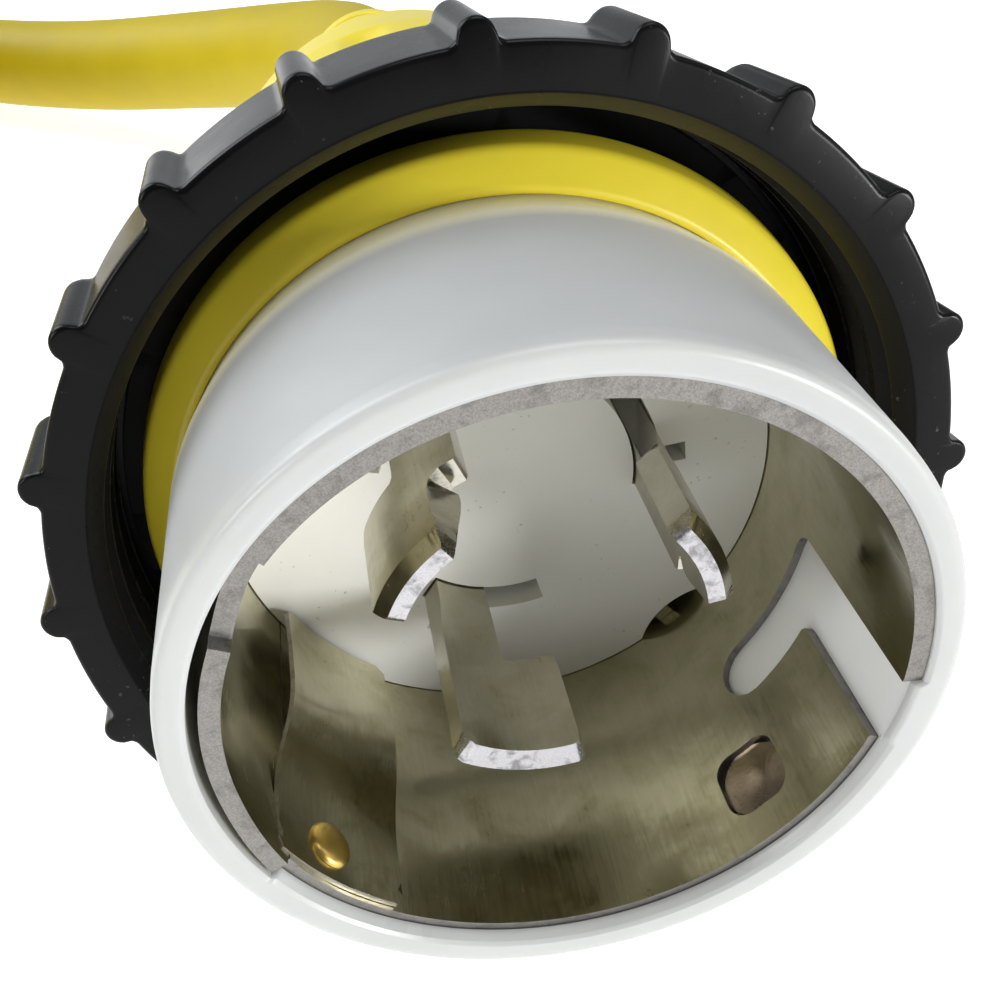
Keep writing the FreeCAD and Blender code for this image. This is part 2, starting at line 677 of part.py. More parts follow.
def plug_nodes():
    f = PLUG_FLANGE_S
    colours = wires(f)
    nodes = {
        "plug_shroud": plug_shroud(),
        "plug_core": plug_core(),
        "plug_ground_shell": ground_shell(),
        "plug_ground_spring": ground_spring(),
        "plug_spring_rivet": spring_rivet(),
        "plug_ground_lug": ground_lug(),
        "plug_lug_rivet": lug_rivet(),
        "plug_wire_ends": wire_ends(),
        "plug_jacket_end": jacket_end(f),
        "plug_strain_relief": strain_relief(f),
    }
    for name, (first, offset) in BLADES.items():
        nodes["plug_blade_" + name] = blade(first, offset, name != "neutral")
    for colour, wire in colours.items():
        nodes["plug_wire_" + colour] = wire
    rooms = crimp_space() + list(colours.values()) + [lug_room(SHELL_R, LUG_ANGLE)]
    rooms += [stem_room(first, first + STEM_WIDTH, offset) for first, offset in BLADES.values()]
    nodes["plug_premould"] = premould(f, CORE_END_S, rooms)
    hollow = [
        rod(SHROUD_BAND_R, f - 1, SHROUD_END_S),
        rod(SHELL_R + SHELL_WALL, f, SHELL_END_S),
        rod(CORE_R + 0.1, f, CORE_END_S + 0.02),
        premould(f, CORE_END_S, []),
        rod(CABLE_R, f + PREMOULD_END - 1, f + BODY_END + 1),
    ]
    nodes["plug_body"] = moulded_body(f, hollow[0].fuse(hollow[1:]))
    nodes["plug_ring"] = ring_frame(threaded_ring(), PLUG_RING_FRONT, PLUG_RING_TILT)
    nodes["plug_ring_washer"] = ring_frame(slip_washer(), PLUG_RING_FRONT, PLUG_RING_TILT)
    return {name: on_plug(shape) for name, shape in nodes.items()}


def mirror_x(shape):
    return shape.mirror(Vector(0, 0, 0), Vector(1, 0, 0))


def connector_nodes():
    f = CONNECTOR_FLANGE_S
    colours = {colour: mirror_x(wire) for colour, wire in wires(f).items()}
    nodes = {
        "connector_nose": connector_nose(),
        "connector_ground_band": connector_ground_band(),
        "connector_ground_lug": connector_ground_lug(),
        "connector_wire_ends": mirror_x(wire_ends()),
        "connector_jacket_end": jacket_end(f),
        "connector_strain_relief": strain_relief(f),
        "connector_gasket": sealing_gasket(),
    }
    for name, (first, offset) in BLADES.items():
        nodes["connector_contact_" + name] = connector_contact(first, offset)
    for colour, wire in colours.items():
        nodes["connector_wire_" + colour] = wire
    rooms = [mirror_x(room) for room in crimp_space()] + list(colours.values())
    rooms.append(lug_room(NOSE_R - 0.55, mirrored(LUG_ANGLE)))
    rooms += [stem_room(*contact_stem_angles(first), offset) for first, offset in BLADES.values()]
    nodes["connector_premould"] = premould(f, CORE_END_S, rooms)
    hollow = [
        rod(NOSE_R, f - 1, CORE_END_S + 0.02),
        premould(f, CORE_END_S, []),
        rod(CABLE_R, f + PREMOULD_END - 1, f + BODY_END + 1),
    ]
    nodes["connector_body"] = moulded_body(f, hollow[0].fuse(hollow[1:]))
    nodes["connector_ring"] = ring_frame(threaded_ring(), CONNECTOR_RING_FRONT)
    nodes["connector_ring_washer"] = ring_frame(slip_washer(), CONNECTOR_RING_FRONT)
    return {name: on_connector(shape) for name, shape in nodes.items()}


def cord_nodes():
    lead, lead_length = sweep(LEAD_ROUTE, CABLE_R, "cable_lead")
    tail, tail_length = sweep(tail_route(), CABLE_R, "cable_tail")
    middle = (COIL_INNER + COIL_OUTER) / 2
    turns = 2 * pi * (2 * COIL_STEPS * middle + 0.5 * COIL_INNER)
    free = lead_length + turns + tail_length
    print("cable outside its ends", round(free), "mm, coil", round(turns))
    print("cord over both ends", round(free + PLUG_LENGTH + CONNECTOR_LENGTH), "of", CORD_LENGTH)
    return {
        "cable_lead": lead,
        "cable_coil": cable_coil(),
        "cable_tail": tail,
        "coil_straps": coil_straps(),
    }


def main():
    os.makedirs("parts", exist_ok=True)
    nodes = {**plug_nodes(), **cord_nodes(), **connector_nodes()}
    for name, shape in nodes.items():
        if not shape.isValid():
            print("not valid:", name)
        shape.exportStep(f"parts/{name}.step")
    print(len(nodes), "nodes")


main()
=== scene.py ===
from math import cos, hypot, pi, radians, sin, sqrt

import bmesh
import bpy
from mathutils import Matrix, Vector


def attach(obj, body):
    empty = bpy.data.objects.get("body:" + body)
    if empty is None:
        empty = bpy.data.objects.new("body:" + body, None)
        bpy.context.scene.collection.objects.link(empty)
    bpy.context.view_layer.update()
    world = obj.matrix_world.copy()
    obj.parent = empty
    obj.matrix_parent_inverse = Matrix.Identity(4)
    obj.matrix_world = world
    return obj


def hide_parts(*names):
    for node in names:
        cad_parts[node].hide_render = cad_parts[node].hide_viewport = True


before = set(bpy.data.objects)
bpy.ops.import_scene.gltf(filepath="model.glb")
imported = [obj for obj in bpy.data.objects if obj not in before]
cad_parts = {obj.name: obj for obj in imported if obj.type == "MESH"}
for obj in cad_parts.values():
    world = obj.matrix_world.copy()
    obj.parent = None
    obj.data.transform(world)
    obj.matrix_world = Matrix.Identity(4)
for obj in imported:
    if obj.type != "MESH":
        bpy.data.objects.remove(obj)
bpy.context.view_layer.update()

# Shore power cord. The plug and the connector are each built on a local axis: x across, s the
# distance in millimetres behind the mouth, z up. Angles run from +x towards +z as seen from in
# front of the mouth. The scene is in metres.

MM = Matrix.Scale(0.001, 4)
PLUG = Matrix.Translation((0, -0.093, 0.04268)) @ MM
RING_AXIS = Vector((-0.039, 1.0, -0.091))
RING_TILT = Vector((0, 1, 0)).rotation_difference(RING_AXIS).to_matrix().to_4x4()
PLUG_RING = PLUG @ Matrix.Translation((0.32, 22.0, 1.13)) @ RING_TILT
CONNECTOR = Matrix.Translation((-0.130, -0.075, 0.04194)) @ Matrix.Rotation(pi / 2, 4, "Z") @ MM
CONNECTOR_RING = CONNECTOR @ Matrix.Translation((0, 25.4, 0.9))
PLUG_FLANGE = 27.6
CONNECTOR_FLANGE = 31.0
CABLE_D = 0.024


# ---- camera ----

camera = bpy.data.objects.new("camera", bpy.data.cameras.new("camera"))
bpy.context.collection.objects.link(camera)
bpy.context.scene.camera = camera
camera.data.sensor_width = 36
camera.data.lens = 41.1
camera.data.shift_x = 0.033
camera.data.shift_y = 0.066
camera.data.clip_start = 0.005
right = Vector((0.9893, -0.1456, 0.0)).normalized()
forward = Vector((0.1161, 0.7888, -0.6036)).normalized()
up = right.cross(forward).normalized()
camera.matrix_world = Matrix.Translation((-0.0169, -0.1532, 0.10398)) @ Matrix((
    (right.x, up.x, -forward.x, 0),
    (right.y, up.y, -forward.y, 0),
    (right.z, up.z, -forward.z, 0),
    (0, 0, 0, 1),
))


# ---- materials ----


class Shader:
    """A principled material with a few short ways to add procedural detail, in object space."""

    def __init__(self, name, colour, roughness, metallic=0.0, specular=0.5):
        self.material = bpy.data.materials.new(name)
        self.material.use_nodes = True
        self.nodes = self.material.node_tree.nodes
        self.links = self.material.node_tree.links
        self.bsdf = self.nodes["Principled BSDF"]
        self.bsdf.inputs["Base Color"].default_value = (*colour, 1)
        self.bsdf.inputs["Roughness"].default_value = roughness
        self.bsdf.inputs["Metallic"].default_value = metallic
        self.bsdf.inputs["Specular IOR Level"].default_value = specular
        self.coord = self.nodes.new("ShaderNodeTexCoord").outputs["Object"]
        self.colour = colour
        self.height = None

    def put(self, socket, value):
        if hasattr(value, "is_output"):
            self.links.new(value, socket)
        else:
            socket.default_value = value

    def set(self, **values):
        for name, value in values.items():
            self.put(self.bsdf.inputs[name.replace("_", " ")], value)
        return self

    def mapped(self, scale=(1, 1, 1), rotation=(0, 0, 0), location=(0, 0, 0)):
        node = self.nodes.new("ShaderNodeMapping")
        node.vector_type = "TEXTURE"
        self.links.new(self.coord, node.inputs["Vector"])
        node.inputs["Location"].default_value = location
        node.inputs["Rotation"].default_value = rotation
        node.inputs["Scale"].default_value = scale
        return node.outputs["Vector"]

    def noise(self, size, detail=3.0, rough=0.55, vector=None, distortion=0.0):
        """Noise whose features are about `size` millimetres."""
        node = self.nodes.new("ShaderNodeTexNoise")
        self.links.new(vector or self.coord, node.inputs["Vector"])
        node.inputs["Scale"].default_value = 1000.0 / size
        node.inputs["Detail"].default_value = detail
        node.inputs["Roughness"].default_value = rough
        node.inputs["Distortion"].default_value = distortion
        return node.outputs["Fac"]

    def cells(self, size, vector=None, feature="F1"):
        node = self.nodes.new("ShaderNodeTexVoronoi")
        node.feature = feature
        self.links.new(vector or self.coord, node.inputs["Vector"])
        node.inputs["Scale"].default_value = 1000.0 / size
        return node.outputs["Distance"]

    def math(self, operation, a, b=0.0):
        node = self.nodes.new("ShaderNodeMath")
        node.operation = operation
        self.put(node.inputs[0], a)
        self.put(node.inputs[1], b)
        return node.outputs["Value"]

    def remap(self, value, a, b, c, d):
        node = self.nodes.new("ShaderNodeMapRange")
        self.links.new(value, node.inputs["Value"])
        for key, number in zip(("From Min", "From Max", "To Min", "To Max"), (a, b, c, d)):
            node.inputs[key].default_value = number
        return node.outputs["Result"]

    def mix(self, factor, a, b):
        node = self.nodes.new("ShaderNodeMix")
        node.data_type = "RGBA"
        self.put(node.inputs["Factor"], factor)
        self.put(node.inputs[6], a if hasattr(a, "is_output") else (*a, 1))
        self.put(node.inputs[7], b if hasattr(b, "is_output") else (*b, 1))
        return node.outputs[2]

    def place(self, axis):
        """One object-space coordinate, in metres."""
        node = self.nodes.new("ShaderNodeSeparateXYZ")
        self.links.new(self.coord, node.inputs["Vector"])
        return node.outputs[axis]

    def bump(self, height, distance, strength=1.0):
        """Relief of a height map, `distance` in millimetres; calls can be stacked."""
        node = self.nodes.new("ShaderNodeBump")
        self.links.new(height, node.inputs["Height"])
        node.inputs["Distance"].default_value = distance * 0.001
        node.inputs["Strength"].default_value = strength
        if self.height:
            self.links.new(self.height, node.inputs["Normal"])
        self.height = node.outputs["Normal"]
        self.links.new(self.height, self.bsdf.inputs["Normal"])
        return self


def moulded(name, colour, roughness, mottle=0.06, dust=0.0, grain=0.02, sss=0.0, band=None):
    """Moulded plastic: slight mottling, uneven gloss, orange-peel and fine scuffs.

    `band` is (start, end, colour): the plastic shades into that colour between two places on y; on the
    white nylon it paints a glow of light near the flange.
    """
    m = Shader(name, colour, roughness)
    broad = m.noise(14.0, 3.0)
    fine = m.noise(0.5, 4.0)
    darker = tuple(c * (1 - mottle) for c in colour)
    lighter = tuple(min(1.0, c * (1 + mottle)) for c in colour)
    tint = m.mix(m.remap(broad, 0.35, 0.65, 0, 1), darker, lighter)
    scuff = m.noise(0.22, 2.0, vector=m.mapped(scale=(1, 14, 5), rotation=(0.3, 0.2, 0.6)))
    mark = m.remap(scuff, 0.69, 0.76, 0, 1)
    if dust:
        speck = m.math("GREATER_THAN", m.noise(0.55, 1.0), 0.735)
        patch = m.remap(m.noise(9.0, 2.0), 0.5, 0.62, 0, dust)
        tint = m.mix(m.math("MULTIPLY", speck, patch), tint, (0.30, 0.30, 0.29))
    # On the white nylon the band is painted light: a cream glow near the flange.
    if band:
        depth = m.remap(m.place(1), *band[:2], 0, 1)
        tint = m.mix(depth, tint, band[2])
    m.set(Base_Color=tint)
    m.set(Roughness=m.math("ADD", m.remap(broad, 0.3, 0.7, roughness - 0.05, roughness + 0.05),
                           m.math("MULTIPLY", mark, 0.06)))
    m.bump(fine, grain, 0.6)
    m.bump(m.noise(2.6, 2.0), grain * 2.5, 0.5)
    if sss:
        m.bsdf.inputs["Subsurface Weight"].default_value = sss
        m.bsdf.inputs["Subsurface Radius"].default_value = (1.0, 0.92, 0.75)
        m.bsdf.inputs["Subsurface Scale"].default_value = 0.0025
    return m


def plated(name, colour, stain, roughness, lines=(1, 1, 1), grain=0.01):
    """Plated metal with rolling lines, cloudy tarnish and fine scratches."""
    m = Shader(name, colour, roughness, metallic=1.0)
    cloud = m.noise(6.0, 5.0, 0.62, distortion=0.4)
    rolled = m.noise(0.30, 3.0, vector=m.mapped(scale=lines))
    tint = m.mix(m.remap(cloud, 0.42, 0.68, 0, 1), colour, stain)
    tint = m.mix(m.remap(rolled, 0.25, 0.75, 0.0, 0.16), tint, tuple(c * 0.55 for c in stain))
    m.set(Base_Color=tint)
    m.set(Roughness=m.math("ADD", m.remap(cloud, 0.35, 0.7, roughness - 0.06, roughness + 0.10),
                           m.remap(rolled, 0.2, 0.8, -0.04, 0.06)))
    m.bump(rolled, grain, 0.5)
    m.bump(m.noise(3.2, 2.0), grain * 4, 0.35)
    return m


yellow = moulded("yellow_vinyl", (0.90, 0.74, 0.042), 0.40, mottle=0.03, grain=0.012)
# The cable is the same yellow vinyl as the moulding, painted much darker to stand in for shade on it:
# painted shade. The jacket ends share this colour.
yellow_cable_painted_shade = moulded("yellow_cable_painted_shade", (0.55, 0.43, 0.010), 0.50, mottle=0.03, grain=0.010)
yellow_cable_painted_shade.set(Specular_IOR_Level=0.2)
# The cream band near the flange is painted light: a glow that stands in for light bounced from the yellow
# flange and shining through the nylon.
white = moulded("white_nylon", (0.57, 0.58, 0.575), 0.32, mottle=0.02, grain=0.004, sss=0.4,
                band=(-0.0718, -0.0702, (0.92, 0.89, 0.70)))
# The slot pad is the same nylon as the shroud, painted much lighter to stand in for light falling into
# the slot: painted light.
pad_white_painted_light = moulded("pad_nylon_painted_light", (0.88, 0.89, 0.88), 0.36, mottle=0.02, grain=0.004, sss=0.4)
core = moulded("core_nylon", (0.84, 0.84, 0.82), 0.42, mottle=0.03, dust=0.5, grain=0.010)
nose_nylon = moulded("nose_nylon", (0.74, 0.74, 0.72), 0.38, mottle=0.03, grain=0.012)
black = moulded("black_nylon", (0.0030, 0.0030, 0.0034), 0.27, mottle=0.25, dust=0.18, grain=0.010)
black.set(Specular_IOR_Level=0.14)
black.set(Sheen_Weight=0.06, Sheen_Roughness=0.4)
black_washer = moulded("black_acetal", (0.006, 0.006, 0.006), 0.5, mottle=0.2)
black_washer.set(Specular_IOR_Level=0.15)
rubber = moulded("gasket_rubber", (0.022, 0.022, 0.023), 0.62, mottle=0.2, grain=0.03)
premould = moulded("premould_resin", (0.50, 0.50, 0.48), 0.55)
nickel = plated("nickel_shell", (0.60, 0.57, 0.41), (0.46, 0.43, 0.27), 0.17,
                lines=(1, 18, 1), grain=0.004)
tarnish = plated("tarnished_pocket", (0.42, 0.35, 0.27), (0.26, 0.20, 0.15), 0.2)
blade_nickel = plated("nickel_blades", (0.46, 0.435, 0.345), (0.38, 0.35, 0.25), 0.18,
                      lines=(1, 12, 1), grain=0.005)
blade_side = plated("blade_side", (0.60, 0.575, 0.50), (0.50, 0.47, 0.40), 0.13, grain=0.006)
bright_brass = plated("brass_rivet", (0.86, 0.62, 0.18), (0.74, 0.50, 0.13), 0.30, grain=0.003)
brass = plated("brass_parts", (0.80, 0.60, 0.25), (0.62, 0.42, 0.15), 0.26)
copper = plated("copper_strands", (0.83, 0.44, 0.27), (0.55, 0.24, 0.12), 0.35,
                lines=(1, 25, 1), grain=0.05)
wire_materials = {
    "black": moulded("wire_black", (0.02, 0.02, 0.02), 0.45),
    "red": moulded("wire_red", (0.50, 0.03, 0.02), 0.42),
    "white": moulded("wire_white", (0.76, 0.76, 0.74), 0.42),
    "green": moulded("wire_green", (0.04, 0.28, 0.09), 0.42),
}


def sheared_metal(name, dark, light, roughness=0.34, painted_reflection=0.0):
    """The fine-grained edge that a press leaves on sheet metal, with darker patches painted in for the
    dark parts of its uneven reflection.
    """
    m = Shader(name, light, roughness, metallic=1.0)
    grit = m.noise(0.14, 3.0, 0.6)
    patch = m.noise(1.5, 4.0, 0.6, distortion=0.5)
    tint = m.mix(m.remap(grit, 0.3, 0.7, 0, 1), dark, light)
    # Darker patches: painted reflection, standing in for the dark parts of the metal's uneven sheen; the
    # same patches also carry real relief.
    m.set(Base_Color=m.mix(m.remap(patch, 0.5, 0.66, 0, painted_reflection), tint, tuple(c * 0.35 for c in dark)))
    m.set(Roughness=m.remap(grit, 0.3, 0.7, roughness - 0.06, roughness + 0.10))
    m.bump(grit, 0.012, 0.5)
    return m.bump(patch, 0.05, 0.5)


def hook_and_loop():
    """Black hook-and-loop tape: a woven ground with a fuzzy pile."""
    m = Shader("strap_webbing", (0.02, 0.02, 0.02), 0.85)
    weave = m.math("MULTIPLY", m.cells(0.8), m.noise(0.35, 2.0))
    depth = m.remap(weave, 0.05, 0.35, 0, 1)
    m.set(Base_Color=m.mix(depth, (0.008, 0.008, 0.009), (0.05, 0.05, 0.052)))
    m.bsdf.inputs["Sheen Weight"].default_value = 0.4
    return m.bump(weave, 0.25, 0.8)


# Both edge finishes carry darker patches of painted reflection.
edge = sheared_metal("sheared_edge", (0.20, 0.19, 0.175), (0.34, 0.325, 0.305), painted_reflection=0.35)
blade_edge = sheared_metal("blade_edge", (0.50, 0.49, 0.50), (0.64, 0.63, 0.65), 0.22, painted_reflection=0.75)
webbing = hook_and_loop()


# ---- mesh helpers ----


def polar(r, angle, s):
    return Vector((r * cos(radians(angle)), s, r * sin(radians(angle))))


def make(name, bm, place, shaders, sharp=38.0):
    """A mesh object from a bmesh in local millimetres, put in place and smooth-shaded."""
    bmesh.ops.remove_doubles(bm, verts=bm.verts, dist=1e-4)
    bmesh.ops.recalc_face_normals(bm, faces=bm.faces)
    bm.transform(place)
    mesh = bpy.data.meshes.new(name)
    bm.to_mesh(mesh)
    bm.free()
    mesh.shade_smooth()
    mesh.set_sharp_from_angle(angle=radians(sharp))
    for shader in shaders:
        mesh.materials.append(shader.material)
    piece = bpy.data.objects.new(name, mesh)
    bpy.context.collection.objects.link(piece)
    return piece


def bevel(piece, width, segments=3, angle=35.0):
    """Rounded edges, `width` in millimetres."""
    modifier = piece.modifiers.new("edges", "BEVEL")
    modifier.width = width * 0.001
    modifier.segments = segments
    modifier.limit_method = "ANGLE"
    modifier.angle_limit = radians(angle)
    modifier.harden_normals = True
    modifier.use_clamp_overlap = True
    return piece


def finish_piece(piece, body, nodes=()):
    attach(piece, body)
    if nodes:
        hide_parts(*nodes)
    return piece


def rounded(corners, steps=5):
    """Closed outline of (s, r, radius) corners, each rounded with a fillet of that radius."""
    points = []
    count = len(corners)
    for i, (s, r, fillet) in enumerate(corners):
        here = Vector((s, r))
        before = Vector(corners[i - 1][:2]) - here
        after = Vector(corners[(i + 1) % count][:2]) - here
        if fillet <= 0:
            points.append((s, r))
            continue
        half = before.angle(after) / 2
        cut = min(fillet / max(0.05, abs(sin(half) / cos(half))), 0.45 * min(before.length, after.length))
        a, b = here + before.normalized() * cut, here + after.normalized() * cut
        for k in range(steps + 1):
            t = k / steps
            p = a.lerp(here, t).lerp(here.lerp(b, t), t)
            points.append((p.x, p.y))
    return points


def turned(name, outline, place, shaders, columns=256, shape=None):
    """A closed outline turned about the local axis. `shape` may change (r, angle, s)."""
    bm = bmesh.new()
    rings = []
    for s, r in outline:
        row = []
        for k in range(columns):
            angle = 360.0 * k / columns
            radius = shape(r, angle, s) if shape else r
            row.append(bm.verts.new(polar(radius, angle, s)))
        rings.append(row)
    for row, following in zip(rings, rings[1:] + rings[:1]):
        for k in range(columns):
            j = (k + 1) % columns
            bm.faces.new((row[k], row[j], following[j], following[k]))
    return make(name, bm, place, shaders)


def bent_plate(name, outline, inner, outer, place, shaders,
               holes=(), step=2.0, rows=2.0, slant=None, tip=99.0):
    """A sheet cut to an outline of (angle, s) points and rolled about the local axis.

    `inner` and `outer` are radii, or functions of (angle, s), and `slant` turns a point of the
    inner face by some degrees. Faces on the cut edges take the second material as far back as
    `tip`, and the last material behind that.
    """
    bm = bmesh.new()
    edges = []
    for loop in (outline, *holes):
        verts = [bm.verts.new((a, s, 0)) for a, s in loop]
        edges += [bm.edges.new(pair) for pair in zip(verts, verts[1:] + verts[:1])]
    bmesh.ops.triangle_fill(bm, edges=edges, use_beauty=True)
    for axis, size in ((0, step), (1, rows)):
        places = [p[axis] for p in outline]
        count = int((max(places) - min(places)) / size)
        for k in range(1, count + 1):
            spot, normal = [0, 0, 0], [0, 0, 0]
            spot[axis] = min(places) + (k - 0.013) * size
            normal[axis] = 1
            geometry = bm.verts[:] + bm.edges[:] + bm.faces[:]
            bmesh.ops.bisect_plane(bm, geom=geometry, plane_co=spot, plane_no=normal, dist=1e-5)
    bottom = bm.faces[:]
    raised = bmesh.ops.extrude_face_region(bm, geom=bottom, use_keep_orig=True)
    top = {v for v in raised["geom"] if isinstance(v, bmesh.types.BMVert)}
    flat = set(bottom) | {f for f in raised["geom"] if isinstance(f, bmesh.types.BMFace)}
    for face in bm.faces:
        if face not in flat and len(shaders) > 1:
            face.material_index = 1 if max(v.co.y for v in face.verts) < tip else len(shaders) - 1
    for vert in bm.verts:
        angle, s = vert.co.x, vert.co.y
        radius = outer if vert in top else inner
        if slant and vert not in top:
            angle += slant(angle, s)
        vert.co = polar(radius(angle, s) if callable(radius) else radius, angle, s)
    return make(name, bm, place, shaders)


def corner_arc(centre, r, a0, a1, radius, steps=8):
    """Points of a rounded corner on a sheet rolled to `radius`, as (angle, s)."""
    scale = 180.0 / (pi * radius)
    found = []
    for k in range(steps + 1):
        a = radians(a0 + (a1 - a0) * k / steps)
        found.append((centre[0] + r * cos(a) * scale, centre[1] + r * sin(a)))
    return found


# ---- the cord ----

COIL = (-0.298, 0.157)  # centre of the coil, in metres like the rest of the cord
COIL_IN = 0.1039
COIL_STEPS = 3.34
COIL_LOW = 0.0135
COIL_TURN_POINTS = 24
SPLINE_SHRINK = 1.0043  # the spline runs a little inside its control points

lead = [
    (0.0, 0.093, 0.04268),
    (-0.002, 0.119, 0.0405),
    (-0.013, 0.150, 0.0345),
    (-0.038, 0.183, 0.0265),
    (-0.077, 0.218, 0.0175),
    (-0.124, 0.256, 0.0130),
    (-0.172, 0.298, 0.0130),
    (-0.236, 0.338, 0.0135),
]
tail = [
    (COIL[0] - 0.1895, COIL[1] + 0.0302, 0.0365),
    (COIL[0] - 0.2164, COIL[1] - 0.0214, 0.0228),
    (COIL[0] - 0.2240, COIL[1] - 0.0793, 0.0139),
    (COIL[0] - 0.2113, COIL[1] - 0.1363, 0.0123),
    (COIL[0] - 0.1783, COIL[1] - 0.1844, 0.0122),
    (COIL[0] - 0.1306, COIL[1] - 0.2182, 0.0212),
    (-0.3719, -0.075, 0.0393),
    (-0.3194, -0.075, 0.04194),
]


def coil_points():
    """In along the floor, up at the innermost turn, and out again on top."""
    turns = 2 * COIL_STEPS + 0.5
    count = int(turns * COIL_TURN_POINTS)
    points = []
    for k in range(count + 1):
        t = turns * k / count
        inward = min(t, COIL_STEPS)
        outward = max(0.0, t - COIL_STEPS - 0.5)
        climb = min(1.0, max(0.0, (t - COIL_STEPS) / 0.5))
        r = COIL_IN + CABLE_D * (COIL_STEPS - inward + outward) - 0.004 * sin(pi * climb)
        r *= SPLINE_SHRINK
        height = COIL_LOW + CABLE_D * climb * climb * (3 - 2 * climb)
        angle = 0.5 * pi + 2 * pi * t
        points.append((COIL[0] + r * cos(angle), COIL[1] + r * sin(angle), height))
    return points


route = lead + coil_points() + tail
curve = bpy.data.curves.new("cable", "CURVE")
curve.dimensions = "3D"
spline = curve.splines.new("NURBS")
spline.points.add(len(route) - 1)
for point, place in zip(spline.points, route):
    point.co = (*place, 1)
spline.order_u = 3
spline.use_endpoint_u = True
spline.resolution_u = 8
curve.bevel_depth = CABLE_D / 2
curve.bevel_resolution = 10
curve.use_fill_caps = True
curve.materials.append(yellow_cable_painted_shade.material)
cable = bpy.data.objects.new("cable", curve)
bpy.context.collection.objects.link(cable)
finish_piece(cable, "cord", ["cable_lead", "cable_coil", "cable_tail"])


# ---- straps round the coil ----

STRAP_ANGLES = (350, 220)
STRAP_HALF_WIDTH = 10  # millimetres; the loops below are in metres
STRAP_INNER = (0.0121, 0.0134)  # distances from a turn's centre to the faces of the first layer
STRAP_OUTER = (0.01345, 0.0146)  # and of the end that laps over it
STRAP_FLOOR = 0.0012  # thickness of the tape under the coil
STRAP_POINTS = 120


def hull(points):
    """Convex hull of 2-D points, anticlockwise."""
    points = sorted(set(points))

    def half(run):
        chain = []
        for p in run:
            while len(chain) > 1 and (chain[-1][0] - chain[-2][0]) * (p[1] - chain[-2][1]) <= (
                    chain[-1][1] - chain[-2][1]) * (p[0] - chain[-2][0]):
                chain.pop()
            chain.append(p)
        return chain[:-1]

    return half(points) + half(points[::-1])


def crossings(angle):
    """(distance from the coil's centre, height) of every turn that crosses a direction."""
    across = Vector((cos(radians(angle)), sin(radians(angle)), 0))
    side = Vector((-across.y, across.x, 0))
    found = []
    places = [Vector(p) - Vector((*COIL, 0)) for p in lead[4:] + coil_points() + tail[:3]]
    for a, b in zip(places, places[1:]):
        u, v = a.dot(side), b.dot(side)
        if u * v < 0 and a.dot(across) > 0:
            p = a.lerp(b, u / (u - v))
            found.append((p.dot(across), p.z))
    return found


def strap_loop(angle, r, low):
    """Taut loop at a distance r round every turn that crosses a direction."""
    spots = []
    for distance, height in crossings(angle):
        for k in range(32):
            a = 2 * pi * k / 32
            spots.append((round(distance + r * cos(a), 6), round(max(low, height + r * sin(a)), 6)))
    return hull(spots)


def resampled(loop, count):
    """Points at even steps along a closed loop, from its lowest, innermost corner."""
    start = min(range(len(loop)), key=lambda k: loop[k][0] + loop[k][1])
    loop = loop[start:] + loop[:start] + [loop[start]]
    lengths = [hypot(b[0] - a[0], b[1] - a[1]) for a, b in zip(loop, loop[1:])]
    total = sum(lengths)
    found = []
    for k in range(count):
        want = total * k / count
        i = 0
        while want > lengths[i]:
            want -= lengths[i]
            i += 1
        t = want / lengths[i]
        (x0, z0), (x1, z1) = loop[i:i + 2]
        found.append((x0 + (x1 - x0) * t, z0 + (z1 - z0) * t))
    return found


def strap_band(bm, angle, inner, outer, first, last):
    """A layer of tape between two distances from the turns, over a stretch of the loop's length."""
    across = Vector((cos(radians(angle)), sin(radians(angle)), 0))
    side = Vector((-across.y, across.x, 0))
    loops = [resampled(strap_loop(angle, inner, STRAP_FLOOR), STRAP_POINTS)]
    loops.append(resampled(strap_loop(angle, outer, 0.0), STRAP_POINTS))
    closed = last - first >= 1
    steps = range(int(first * STRAP_POINTS), int(last * STRAP_POINTS) + (0 if closed else 1))
    rows = []
    for k in steps:
        row = []
        for loop, sign in ((0, -1), (0, 1), (1, 1), (1, -1)):
            distance, height = loops[loop][k]
            spot = Vector((*COIL, height)) + across * distance
            row.append(bm.verts.new(spot * 1000 + side * sign * STRAP_HALF_WIDTH))
        rows.append(row)
    for row, following in zip(rows, rows[1:] + (rows[:1] if closed else [])):
        for i in range(4):
            j = (i + 1) % 4
            bm.faces.new((row[i], row[j], following[j], following[i]))
    if not closed:
        bm.faces.new(rows[0])
        bm.faces.new(rows[-1][::-1])


bands = bmesh.new()
for angle in STRAP_ANGLES:
    strap_band(bands, angle, *STRAP_INNER, 0, 1)
    strap_band(bands, angle, *STRAP_OUTER, 0.55, 0.78)
straps = make("coil_strap_bands", bands, MM, [webbing], sharp=50.0)
finish_piece(bevel(straps, 0.35, 2, 50.0), "cord", ["coil_straps"])


# ---- moulded parts, shared by both ends ----


